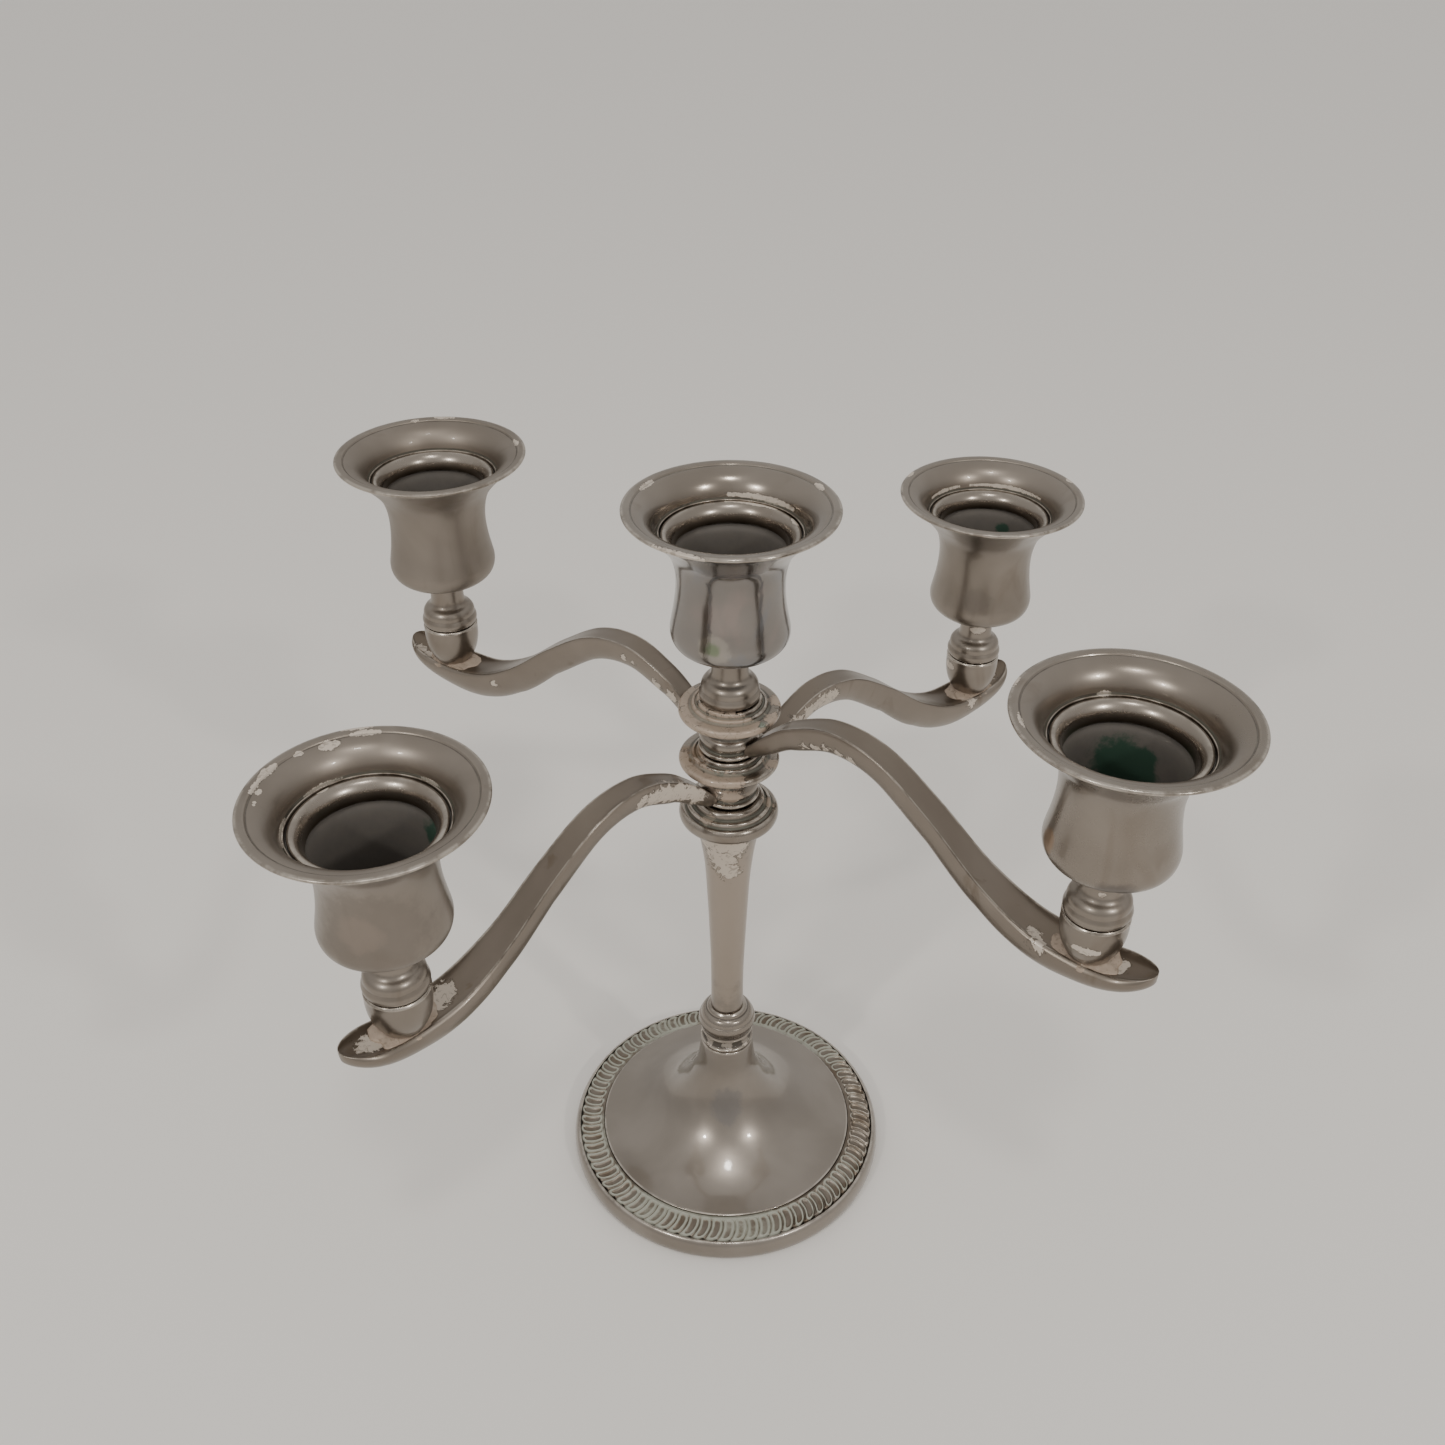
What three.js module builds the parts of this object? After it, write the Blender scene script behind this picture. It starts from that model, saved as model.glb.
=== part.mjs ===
// Five-light table candelabrum in silver-plated brass, with two swivelling two-arm branches.
// Millimetres, +Z up. The origin is on the column's axis at the table. +X runs along the upper branch.
import * as THREE from 'three';

// Driving dimensions.
const LIGHT_RADIUS = 97.3;          // column axis to an arm's candle axis
const BRANCH_ANGLE = 80.6;          // degrees from the upper branch to the lower one
const LOWER_HUB_Z = 140.6;          // top of the lower hub's disc
const STACK_PITCH = 14.6;           // one branch casting stands this far above the other
const UPPER_HUB_Z = LOWER_HUB_Z + STACK_PITCH;
const RIM_ABOVE_HUB = 37.9;         // an arm cup's rim above its own hub's disc
const CENTRE_RIM_Z = 207.6;         // the object's full height
const RIM_RADIUS = 24.5;            // flared rim of every candle cup
const CUP_DEPTH = 37.4;             // rim to the underside of the cup
const SEAM_DEPTH = 49.9;            // rim to the seam under the bell knop
const SEAT_FOOT_DEPTH = 61.2;       // rim to the underside of an arm's seat
const CANDLE_BORE_RADIUS = 11.9;    // the waist inside a cup, which takes the candle
const COLLAR_BORE_RADIUS = 12.6;    // the loose collar's opening, a little wider than the candle's
const PLUG_RADIUS = 4.5;            // tapered plug under a hub or the centre light
const SOCKET_RADIUS = 4.9;          // the bore that takes such a plug
const PLUG_LENGTH = 10.5;
const SOCKET_DEPTH = 11.4;
const FOOT_RADIUS = 45.1;
const FOOT_TOP_Z = 41.0;
const KNOP_TOP_Z = 54.2;
const STEM_TOP_Z = 120.4;
const CAP_TOP_Z = 128.2;
const ROD_RADIUS = 1.6;
const ROD_HOLE_RADIUS = 2.0;
const ARM_ROOT_RADIUS = 7.7;        // where an arm butts against its hub
const ARM_TIP_RADIUS = 112.8;
const GAP = 0.3;                    // left between pieces that touch

const CUP_SIDES = 16;
const SMALL_SIDES = 12;
const SCREW_SIDES = 8;
const FOOT_SIDES = 32;
const STEM_SIDES = 16;

const plated = new THREE.MeshStandardMaterial({ color: 0x8a8276, roughness: 0.34, metalness: 1.0 });
const platedCup = new THREE.MeshStandardMaterial({ color: 0x8f877c, roughness: 0.32, metalness: 1.0 });
const platedFoot = new THREE.MeshStandardMaterial({ color: 0x857c70, roughness: 0.36, metalness: 1.0 });
const steel = new THREE.MeshStandardMaterial({ color: 0x6d6a66, roughness: 0.45, metalness: 1.0 });
const felt = new THREE.MeshStandardMaterial({ color: 0x23382b, roughness: 0.95, metalness: 0.0 });
const filler = new THREE.MeshStandardMaterial({ color: 0x2b2622, roughness: 0.85, metalness: 0.0 });

const candelabrum = new THREE.Group();

function named(name, geometry, material, parent) {
  const mesh = new THREE.Mesh(geometry, material);
  mesh.name = name;
  parent.add(mesh);
  return mesh;
}

// A turned solid: the outline is [radius, height] pairs running up the outside and back down the
// inside or the axis. The lathe turns about Y, so the result is stood up along Z.
function turned(outline, sides) {
  const points = outline.map(([radius, height]) => new THREE.Vector2(radius, height));
  const geometry = new THREE.LatheGeometry(points, sides);
  geometry.rotateX(Math.PI / 2);
  return geometry;
}

// The same outline closed on itself, for a piece with a hole on its axis.
function turnedRing(outline, sides) {
  return turned([...outline, outline[0]], sides);
}

// Points along a smooth curve through a few [radius, height] pairs.
function smooth(pairs, steps) {
  const curve = new THREE.SplineCurve(pairs.map(([radius, height]) => new THREE.Vector2(radius, height)));
  return curve.getPoints(steps).map((point) => [point.x, point.y]);
}

// Foot: felt, closing plate, pitch weight, spun shell, applied loop border.
const FELT_TOP = 1.0;
const PLATE_TOP = 2.1;
const WEIGHT_BOTTOM = PLATE_TOP + GAP;
const NUT_POCKET_TOP = 9.0;
const NUT_POCKET_RADIUS = 6.5;
const TRUMPET = [
  [36.1, 7.7], [30, 9.2], [24, 11.9], [17.5, 16.4], [12.8, 22], [9.8, 27.8], [8.2, 32.8], [7.2, FOOT_TOP_Z],
];

function footFelt() {
  return turned([[0, 0], [43.0, 0], [43.0, FELT_TOP], [0, FELT_TOP]], FOOT_SIDES);
}

function footPlate() {
  const bottom = FELT_TOP + GAP;
  return turned([[0, bottom], [42.8, bottom], [42.8, PLATE_TOP], [0, PLATE_TOP]], FOOT_SIDES);
}

// The pitch fills the shell, with a hole for the tie rod and a pocket for its nut.
function footWeight() {
  const under = (radius, height) => [radius - 1.2, height - 1.7];
  const slope = TRUMPET.slice(1, 6).map(([radius, height]) => under(radius, height));
  return turnedRing([
    [NUT_POCKET_RADIUS, WEIGHT_BOTTOM],
    [42.4, WEIGHT_BOTTOM],
    [42.2, 3.7],
    [35.0, 4.9],
    ...slope,
    [ROD_HOLE_RADIUS + 0.4, slope[4][1]],
    [ROD_HOLE_RADIUS + 0.4, NUT_POCKET_TOP],
    [NUT_POCKET_RADIUS, NUT_POCKET_TOP],
  ], FOOT_SIDES);
}

// A spun shell about 1 mm thick: rolled edge, a recess for the border, then the trumpet up to the neck.
function footShell() {
  const trumpet = smooth(TRUMPET, 9);
  const lining = TRUMPET.slice(0, 6).map(([radius, height]) => [radius - 0.7, height - 1.2]);
  const inside = smooth(lining, 6).reverse();
  return turnedRing([
    [43.3, 0.2],
    [44.6, 0.2],
    [FOOT_RADIUS, 1.4],
    [FOOT_RADIUS, 3.0],
    [44.6, 5.0],
    [43.7, 6.0],
    [43.4, 5.0],
    [36.2, 6.3],
    ...trumpet,
    [ROD_HOLE_RADIUS, FOOT_TOP_Z],
    [ROD_HOLE_RADIUS, 30.0],
    ...inside,
    [35.4, 5.3],
    [42.6, 4.2],
    [43.5, 3.0],
  ], FOOT_SIDES);
}

// The border is a flat ring here; its pierced loops are surface work.
function footBorder() {
  return turnedRing([
    [36.6, 6.6],
    [43.1, 5.4],
    [43.1, 6.3],
    [42.4, 6.7],
    [37.2, 7.7],
    [36.6, 7.6],
  ], FOOT_SIDES);
}

function addFoot(parent) {
  named('foot_felt', footFelt(), felt, parent);
  named('foot_plate', footPlate(), steel, parent);
  named('foot_weight', footWeight(), filler, parent);
  named('foot_shell', footShell(), platedFoot, parent);
  named('foot_border', footBorder(), platedFoot, parent);
}

// Tie rod: holds foot, knop, stem and cap together, with a nut and washer in the foot.
const WASHER_TOP = NUT_POCKET_TOP - GAP;
const WASHER_BOTTOM = WASHER_TOP - 1.0;
const NUT_TOP = WASHER_BOTTOM - GAP;
const NUT_BOTTOM = NUT_TOP - 3.2;
const ROD_BOTTOM = NUT_BOTTOM - 1.0;
const CAP_FLOOR_Z = CAP_TOP_Z - SOCKET_DEPTH;
const ROD_TOP = CAP_FLOOR_Z - GAP;

function tieRod() {
  const outline = [[0, ROD_BOTTOM], [ROD_RADIUS, ROD_BOTTOM], [ROD_RADIUS, ROD_TOP], [0, ROD_TOP]];
  return turned(outline, SCREW_SIDES);
}

function footNut() {
  const hole = ROD_RADIUS + GAP;
  return turnedRing([[hole, NUT_BOTTOM], [3.6, NUT_BOTTOM], [3.6, NUT_TOP], [hole, NUT_TOP]], 6);
}

function footWasher() {
  const hole = ROD_HOLE_RADIUS;
  const edge = 5.6;
  const outline = [[hole, WASHER_BOTTOM], [edge, WASHER_BOTTOM], [edge, WASHER_TOP], [hole, WASHER_TOP]];
  return turnedRing(outline, SMALL_SIDES);
}

// Stem: a turned knop, a tapered tube and the cap with the first plug socket.
function stemKnop() {
  return turnedRing([
    [ROD_HOLE_RADIUS, FOOT_TOP_Z + GAP],
    [6.9, FOOT_TOP_Z + GAP],
    ...smooth([[7.0, 42.4], [7.3, 44.0], [6.5, 45.8]], 4),
    ...smooth([[6.6, 46.4], [7.6, 48.2], [7.7, 50.0], [7.2, 51.6], [5.6, 52.8]], 6),
    [5.0, KNOP_TOP_Z],
    [ROD_HOLE_RADIUS, KNOP_TOP_Z],
  ], STEM_SIDES);
}

function stemTube() {
  const bottom = KNOP_TOP_Z + GAP;
  const outside = smooth([
    [4.5, bottom], [4.44, 62], [4.55, 72], [4.85, 81],
    [5.35, 93], [6.0, 104], [7.0, 112.4], [8.6, STEM_TOP_Z],
  ], 10);
  return turnedRing([
    [ROD_HOLE_RADIUS, bottom],
    ...outside,
    [6.5, STEM_TOP_Z],
    [6.4, 115.8],
    [ROD_HOLE_RADIUS, 114.5],
  ], STEM_SIDES);
}

function stemCap() {
  const bottom = STEM_TOP_Z + GAP;
  return turnedRing([
    [ROD_RADIUS + GAP, 115.1],
    [5.9, 116.2],
    [6.1, bottom],
    [9.6, bottom],
    ...smooth([[10.6, 121.2], [12.3, 122.6], [12.3, 123.9], [11.3, 124.9]], 5),
    [10.5, 125.2],
    [10.4, 126.2],
    [8.9, 126.8],
    [8.7, CAP_TOP_Z],
    [SOCKET_RADIUS, CAP_TOP_Z],
    [SOCKET_RADIUS, CAP_FLOOR_Z],
    [ROD_RADIUS + GAP, CAP_FLOOR_Z],
  ], STEM_SIDES);
}

function addStem(parent) {
  named('tie_rod', tieRod(), steel, parent);
  named('foot_nut', footNut(), steel, parent);
  named('foot_washer', footWasher(), steel, parent);
  named('stem_knop', stemKnop(), plated, parent);
  named('stem_tube', stemTube(), plated, parent);
  named('stem_cap', stemCap(), plated, parent);
}

// A hub casting, with heights counted from its disc's top. Its plug drops in the socket below it, and
// its own socket takes the next plug.
const RING_TOP = 2.2;
const FLANGE_BOTTOM = RING_TOP - STACK_PITCH + GAP;

function hub() {
  const waist = [[6.4, -10.6], [7.2, -9.4], [7.1, -8.0], [6.2, -6.2], [6.7, -4.6], [9.3, -3.0]];
  return turned([
    [0, FLANGE_BOTTOM - PLUG_LENGTH],
    [PLUG_RADIUS - 0.4, FLANGE_BOTTOM - PLUG_LENGTH],
    [PLUG_RADIUS, FLANGE_BOTTOM],
    [7.4, FLANGE_BOTTOM],
    [7.6, FLANGE_BOTTOM + 0.8],
    ...smooth(waist, 8),
    [11.6, -2.1],
    [12.4, -1.5],
    [12.4, -0.6],
    [11.9, 0],
    [9.3, 0.2],
    [9.0, 1.2],
    [7.9, 1.3],
    [7.7, RING_TOP],
    [SOCKET_RADIUS, RING_TOP],
    [SOCKET_RADIUS, RING_TOP - SOCKET_DEPTH],
    [0, RING_TOP - SOCKET_DEPTH],
  ], STEM_SIDES);
}

// An S-shaped arm, seen from the side as [distance from the axis, height of its top face above the hub's
// disc]. It climbs from the hub to a crest, falls, and turns up again into a leaf-shaped pad.
const ARM_LINE = new THREE.SplineCurve([
  [ARM_ROOT_RADIUS, -7.5], [12.4, -2.7], [19, 2.2], [30, 6.2], [43, 4.1], [57, -4.8], [71, -15.8],
  [84, -22.3], [97.3, -24.0], [106, -23.2], [ARM_TIP_RADIUS, -21.8],
].map(([radius, height]) => new THREE.Vector2(radius, height)));
const ARM_WIDTHS = new THREE.SplineCurve([
  [0, 5.4], [0.14, 5.6], [0.34, 6.8], [0.55, 8.0], [0.68, 10.0],
  [0.78, 11.4], [0.88, 11.8], [0.94, 10.0], [1, 3.6],
].map(([share, width]) => new THREE.Vector2(share, width)));
const ARM_DEPTHS = new THREE.SplineCurve([
  [0, 3.0], [0.14, 6.8], [0.34, 7.3], [0.55, 7.6], [0.68, 8.6],
  [0.78, 8.8], [0.88, 7.0], [0.94, 5.4], [1, 2.8],
].map(([share, depth]) => new THREE.Vector2(share, depth)));

// Reads a curve of [x, y] pairs at a given x by halving.
function heightAt(curve, x) {
  let low = 0;
  let high = 1;
  for (let pass = 0; pass < 24; pass += 1) {
    const middle = (low + high) / 2;
    if (curve.getPoint(middle).x < x) low = middle;
    else high = middle;
  }
  return curve.getPoint((low + high) / 2).y;
}

// The section: a flat top, slightly hollowed, over a rounded keel. Width and depth are 1.
function armSection() {
  const shape = new THREE.Shape();
  shape.moveTo(0.5, 0);
  shape.lineTo(0, -0.06);
  shape.lineTo(-0.5, 0);
  for (const turn of [0.2, 0.4, 0.6, 0.8]) {
    const angle = Math.PI * (1 + turn);
    shape.lineTo(0.5 * Math.cos(angle), -(Math.abs(Math.sin(angle)) ** 0.85));
  }
  shape.closePath();
  return shape;
}

// The section is extruded in equal steps, then each ring of points is moved to its place on the arm's
// line and given the width and depth it has there. The depth is measured square to the line.
function arm() {
  const steps = 22;
  const geometry = new THREE.ExtrudeGeometry(armSection(), { depth: 1, steps, bevelEnabled: false });
  const position = geometry.attributes.position;
  for (let index = 0; index < position.count; index += 1) {
    const share = position.getZ(index);
    const along = ARM_LINE.getPoint(share);
    const tangent = ARM_LINE.getTangent(share);
    const reach = (along.x - ARM_ROOT_RADIUS) / (ARM_TIP_RADIUS - ARM_ROOT_RADIUS);
    const width = heightAt(ARM_WIDTHS, reach);
    const depth = heightAt(ARM_DEPTHS, reach) / Math.max(tangent.x, 0.6);
    position.setXYZ(index, along.x, position.getX(index) * width, along.y + position.getY(index) * depth);
  }
  geometry.computeVertexNormals();
  return geometry;
}

// One candle light, with heights counted from the cup's rim.
const CUP_FLOOR = -35.6;
const SCREW_RECESS_RADIUS = 3.9;
const SCREW_RECESS_FLOOR = -36.7;
const SCREW_HOLE_RADIUS = 1.9;
const SCREW_RADIUS = 1.5;

// A spun cup: vase body, wide flared rim, a step for the collar, and a floor with a sunk screw.
function cup() {
  const body = [
    [9.0, -36.1], [11.4, -35.1], [13.4, -33.4], [14.0, -31],
    [13.1, -26], [12.55, -19], [12.9, -15], [14.3, -10],
  ];
  const flare = [[16.8, -7.1], [19.7, -4.0], [22.6, -1.7], [RIM_RADIUS, -1.0]];
  const dish = [[22.3, -0.6], [19.0, -3.0], [16.2, -6.4]];
  const step = [[15.8, -7.6], [14.8, -7.6], [14.3, -8.5], [13.5, -10.0], [13.4, -11.0], [12.4, -13.0]];
  const bore = [[CANDLE_BORE_RADIUS, -19], [12.4, -26], [13.1, -31], [11.4, -33.9]];
  return turnedRing([
    [SCREW_HOLE_RADIUS, -CUP_DEPTH],
    [5.2, -CUP_DEPTH],
    ...body,
    ...flare,
    [RIM_RADIUS, -0.3],
    [24.0, 0],
    [22.5, -0.2],
    ...dish,
    ...step,
    ...bore,
    [8.0, CUP_FLOOR],
    [SCREW_RECESS_RADIUS, CUP_FLOOR],
    [SCREW_RECESS_RADIUS, SCREW_RECESS_FLOOR],
    [SCREW_HOLE_RADIUS, SCREW_RECESS_FLOOR],
  ], CUP_SIDES);
}

// A loose collar with a rounded shoulder that leads the candle in, and lifts out to be cleaned.
function collar() {
  const underside = [[13.1, -10.6], [13.2, -9.8], [14.0, -8.2], [14.6, -7.3], [15.5, -7.3]];
  const shoulder = [[15.6, -6.9], [15.2, -6.5], [14.5, -6.5], [13.7, -7.1], [13.0, -8.3], [12.7, -9.5]];
  return turnedRing([[COLLAR_BORE_RADIUS, -10.6], ...underside, ...shoulder], CUP_SIDES);
}

// The neck and bell knop below a cup.
const PILLAR_OUTSIDE = [
  [7.1, -SEAM_DEPTH], [7.3, -47.6], [6.8, -45.9], [5.2, -44.0],
  [4.4, -42.0], [4.4, -39], [4.6, -CUP_DEPTH - GAP],
];

function pillar() {
  return turnedRing([
    [SCREW_HOLE_RADIUS, -SEAM_DEPTH],
    ...PILLAR_OUTSIDE,
    [SCREW_HOLE_RADIUS, -CUP_DEPTH - GAP],
  ], SMALL_SIDES);
}

// The centre light's pillar ends in a plug for the upper hub. Its screw hole is blind.
function pluggedPillar() {
  const holeBottom = -SEAM_DEPTH - 5;
  return turned([
    [0, -SEAM_DEPTH - PLUG_LENGTH],
    [PLUG_RADIUS - 0.4, -SEAM_DEPTH - PLUG_LENGTH],
    [PLUG_RADIUS, -SEAM_DEPTH],
    ...PILLAR_OUTSIDE,
    [SCREW_HOLE_RADIUS, -CUP_DEPTH - GAP],
    [SCREW_HOLE_RADIUS, holeBottom],
    [0, holeBottom],
  ], SMALL_SIDES);
}

// The small cup soldered on an arm's pad, which the pillar stands in.
function seat() {
  const top = -SEAM_DEPTH - GAP;
  return turned([
    [0, -SEAT_FOOT_DEPTH],
    [5.1, -SEAT_FOOT_DEPTH],
    ...smooth([[5.5, -59.6], [6.7, -56.6], [7.2, -53.0], [7.1, top]], 5),
    [SCREW_HOLE_RADIUS, top],
    [SCREW_HOLE_RADIUS, top - 5.5],
    [0, top - 5.5],
  ], SMALL_SIDES);
}

// A flat-headed screw, sunk in the cup's floor, down through the pillar.
function cupScrew() {
  const tip = -SEAM_DEPTH - 4.5;
  const head = SCREW_RECESS_FLOOR + GAP;
  const shank = [[0, tip], [SCREW_RADIUS, tip], [SCREW_RADIUS, head]];
  return turned([...shank, [3.3, head], [3.3, head + 0.7], [0, head + 0.7]], SCREW_SIDES);
}

// Adds one light whose rim is at rimZ, at a distance from the column's axis.
function addLight(name, distance, rimZ, pillarGeometry, parent) {
  const light = new THREE.Group();
  light.position.set(distance, 0, rimZ);
  parent.add(light);
  named(`${name}_pillar`, pillarGeometry, plated, light);
  named(`${name}_screw`, cupScrew(), steel, light);
  named(`${name}_cup`, cup(), platedCup, light);
  named(`${name}_collar`, collar(), platedCup, light);
  return light;
}

// Adds a hub with two arms opposite each other, each with its seat and light.
function addBranch(name, hubZ, degrees, parent) {
  const branch = new THREE.Group();
  branch.position.z = hubZ;
  branch.rotation.z = THREE.MathUtils.degToRad(degrees);
  parent.add(branch);
  named(`${name}_hub`, hub(), plated, branch);
  for (const [side, turn] of [['a', 0], ['b', Math.PI]]) {
    const half = new THREE.Group();
    half.rotation.z = turn;
    branch.add(half);
    named(`${name}_arm_${side}`, arm(), plated, half);
    const light = addLight(`${name}_${side}`, LIGHT_RADIUS, RIM_ABOVE_HUB, pillar(), half);
    named(`${name}_${side}_seat`, seat(), plated, light);
  }
}

addFoot(candelabrum);
addStem(candelabrum);
addBranch('lower', LOWER_HUB_Z, BRANCH_ANGLE, candelabrum);
addBranch('upper', UPPER_HUB_Z, 0, candelabrum);
addLight('centre', 0, CENTRE_RIM_Z, pluggedPillar(), candelabrum);

export default candelabrum;
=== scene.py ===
# A small five-light candelabrum in tarnished silver plate, finished piece by piece round its packed
# frame. Blender works in metres here; the pieces' own sizes are in millimetres, as a silversmith's are.
import math

import bmesh
import bpy
import numpy as np
from mathutils import Matrix, Vector


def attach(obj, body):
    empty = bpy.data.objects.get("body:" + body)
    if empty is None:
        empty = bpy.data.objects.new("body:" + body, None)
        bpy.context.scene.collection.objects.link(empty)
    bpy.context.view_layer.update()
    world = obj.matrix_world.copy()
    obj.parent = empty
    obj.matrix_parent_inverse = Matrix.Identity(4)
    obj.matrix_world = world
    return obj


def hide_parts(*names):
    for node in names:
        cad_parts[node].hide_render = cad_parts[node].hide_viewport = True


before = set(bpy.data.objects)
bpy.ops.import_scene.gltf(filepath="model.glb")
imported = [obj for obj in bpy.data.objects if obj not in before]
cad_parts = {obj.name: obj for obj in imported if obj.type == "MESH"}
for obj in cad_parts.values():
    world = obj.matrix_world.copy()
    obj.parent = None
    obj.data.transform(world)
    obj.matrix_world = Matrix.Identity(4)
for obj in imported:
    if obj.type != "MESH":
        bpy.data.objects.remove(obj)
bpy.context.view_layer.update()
MM = 0.001


# The bench: a large pale sheet, seen from a little above the cups by a phone-like lens. The upper
# branch lies along X, and the camera stands 37 degrees round from it.
CAMERA_PLACE = (0.1701, -0.2277, 0.3485)
CAMERA_TURN = math.radians(37.1)
CAMERA_DIP = math.radians(34.96)
CAMERA_ROLL = math.radians(0.3)
LENS_MM = 35.68
SHEET_HALF_WIDTH = 6.0
SHEET_COLOUR = (0.845, 0.82, 0.79, 1.0)


def add_camera():
    """The turn about Z, then the tilt from straight down, then the roll about the view."""
    data = bpy.data.cameras.new("bench_camera")
    data.lens = LENS_MM
    data.sensor_width = 36.0
    data.clip_start = 0.01
    camera = bpy.data.objects.new("bench_camera", data)
    bpy.context.collection.objects.link(camera)
    aim = Matrix.Rotation(CAMERA_TURN, 4, "Z") @ Matrix.Rotation(math.pi / 2 - CAMERA_DIP, 4, "X")
    camera.matrix_world = Matrix.Translation(CAMERA_PLACE) @ aim @ Matrix.Rotation(CAMERA_ROLL, 4, "Z")
    bpy.context.scene.camera = camera


def add_sheet():
    mesh = bpy.data.meshes.new("bench_sheet")
    w = SHEET_HALF_WIDTH
    mesh.from_pydata([(-w, -w, 0), (w, -w, 0), (w, w, 0), (-w, w, 0)], [], [(0, 1, 2, 3)])
    sheet = bpy.data.objects.new("bench_sheet", mesh)
    bpy.context.collection.objects.link(sheet)
    paper = bpy.data.materials.new("pale_sheet")
    paper.use_nodes = True
    shader = paper.node_tree.nodes["Principled BSDF"]
    shader.inputs["Base Color"].default_value = SHEET_COLOUR
    shader.inputs["Roughness"].default_value = 0.9
    mesh.materials.append(paper)


def add_lamp(name, turn_degrees, rise_degrees, watts, radius, distance=1.25):
    """A round lamp at a bearing from the camera's side, facing the middle of the candelabrum."""
    data = bpy.data.lights.new(name, "AREA")
    data.shape = "DISK"
    data.size = 2 * radius
    data.energy = watts
    data.color = (1.0, 0.97, 0.92)
    lamp = bpy.data.objects.new(name, data)
    bpy.context.collection.objects.link(lamp)
    turn = CAMERA_TURN + math.radians(turn_degrees)
    rise = math.radians(rise_degrees)
    away = Vector((math.sin(turn) * math.cos(rise), -math.cos(turn) * math.cos(rise), math.sin(rise)))
    target = Vector((0, 0, 0.13))
    lamp.location = target + away * distance
    lamp.rotation_euler = away.to_track_quat("Z", "Y").to_euler()


def add_room():
    """A plain room, duller at the horizon and below it, and brightest overhead. The brightness
    follows the height of the direction looked in."""
    world = bpy.data.worlds.new("plain_room")
    world.use_nodes = True
    nodes, links = world.node_tree.nodes, world.node_tree.links
    direction = nodes.new("ShaderNodeTexCoord")
    split = nodes.new("ShaderNodeSeparateXYZ")
    ramp = nodes.new("ShaderNodeValToRGB")
    ramp.color_ramp.elements[0].position = 0.0
    ramp.color_ramp.elements[0].color = (0.40, 0.385, 0.365, 1)
    ramp.color_ramp.elements[1].position = 0.95
    ramp.color_ramp.elements[1].color = (0.62, 0.605, 0.58, 1)
    middle = ramp.color_ramp.elements.new(0.45)
    middle.color = (0.56, 0.545, 0.52, 1)
    links.new(direction.outputs["Generated"], split.inputs[0])
    links.new(split.outputs["Z"], ramp.inputs[0])
    links.new(ramp.outputs[0], nodes["Background"].inputs["Color"])
    nodes["Background"].inputs["Strength"].default_value = 1.27
    bpy.context.scene.world = world


add_camera()
add_sheet()
add_room()
add_lamp("left_lamp", -38, 36, 2.4, 0.035)
add_lamp("right_lamp", 41, 34, 2.4, 0.035)
add_lamp("near_lamp", 4, 63, 1.7, 0.06)


# The foot: a spun brass shell, silver plated. Its edge is rolled, a recess takes the border, and the
# middle rises like a trumpet's bell to the neck.
def through(points, count):
    """A smooth line through the points: each span is the Catmull-Rom cubic of its four neighbours."""
    points = np.asarray(points, float)
    padded = np.vstack([points[:1], points, points[-1:]])
    place = np.linspace(0, len(points) - 1, count)
    span = np.minimum(place.astype(int), len(points) - 2)
    t = (place - span)[:, None]
    p0, p1, p2, p3 = (padded[span + k] for k in range(4))
    v0, v1 = (p2 - p0) / 2, (p3 - p1) / 2
    return (2 * p1 - 2 * p2 + v0 + v1) * t**3 + (3 * p2 - 3 * p1 - 2 * v0 - v1) * t**2 + v0 * t + p1


def eased(corners, closed=False, steps=6):
    """An outline with eased corners: each is a parabola that leaves the two edges `ease` before the
    corner, or at their middles where a corner has no third value."""
    places = [np.array(corner[:2], float) for corner in corners]
    stretches = []
    for k, corner in enumerate(corners):
        here = places[k]
        if not closed and k in (0, len(corners) - 1):
            stretches.append(here[None])
            continue
        back = places[k - 1] - here
        ahead = places[(k + 1) % len(places)] - here
        ends = []
        for edge in (back, ahead):
            length = np.linalg.norm(edge)
            cut = length / 2 if len(corner) < 3 else min(corner[2], length / 2)
            ends.append(here + edge * (cut / length))
        t = np.linspace(0, 1, steps + 1)[:, None]
        stretches.append((1 - t)**2 * ends[0] + 2 * t * (1 - t) * here + t**2 * ends[1])
    path = np.concatenate(stretches)
    apart = np.linalg.norm(np.diff(path, axis=0), axis=1) > 1e-4
    return path[np.concatenate([[True], apart])]


def hollowness(path, reach=0.45):
    """How hollow the outline is at each point: the turning towards the outside within `reach` mm,
    positive in a crease and negative on an edge. The solid lies on the path's left."""
    step = np.diff(path, axis=0)
    heading = np.arctan2(step[:, 1], step[:, 0])
    turning = np.concatenate([[0], (np.diff(heading) + np.pi) % (2 * np.pi) - np.pi, [0]])
    along = np.concatenate([[0], np.cumsum(np.linalg.norm(step, axis=1))])
    near = np.exp(-((along[:, None] - along[None]) / reach)**2)
    return np.clip(-near @ turning, -1.2, 1.2)


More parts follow.
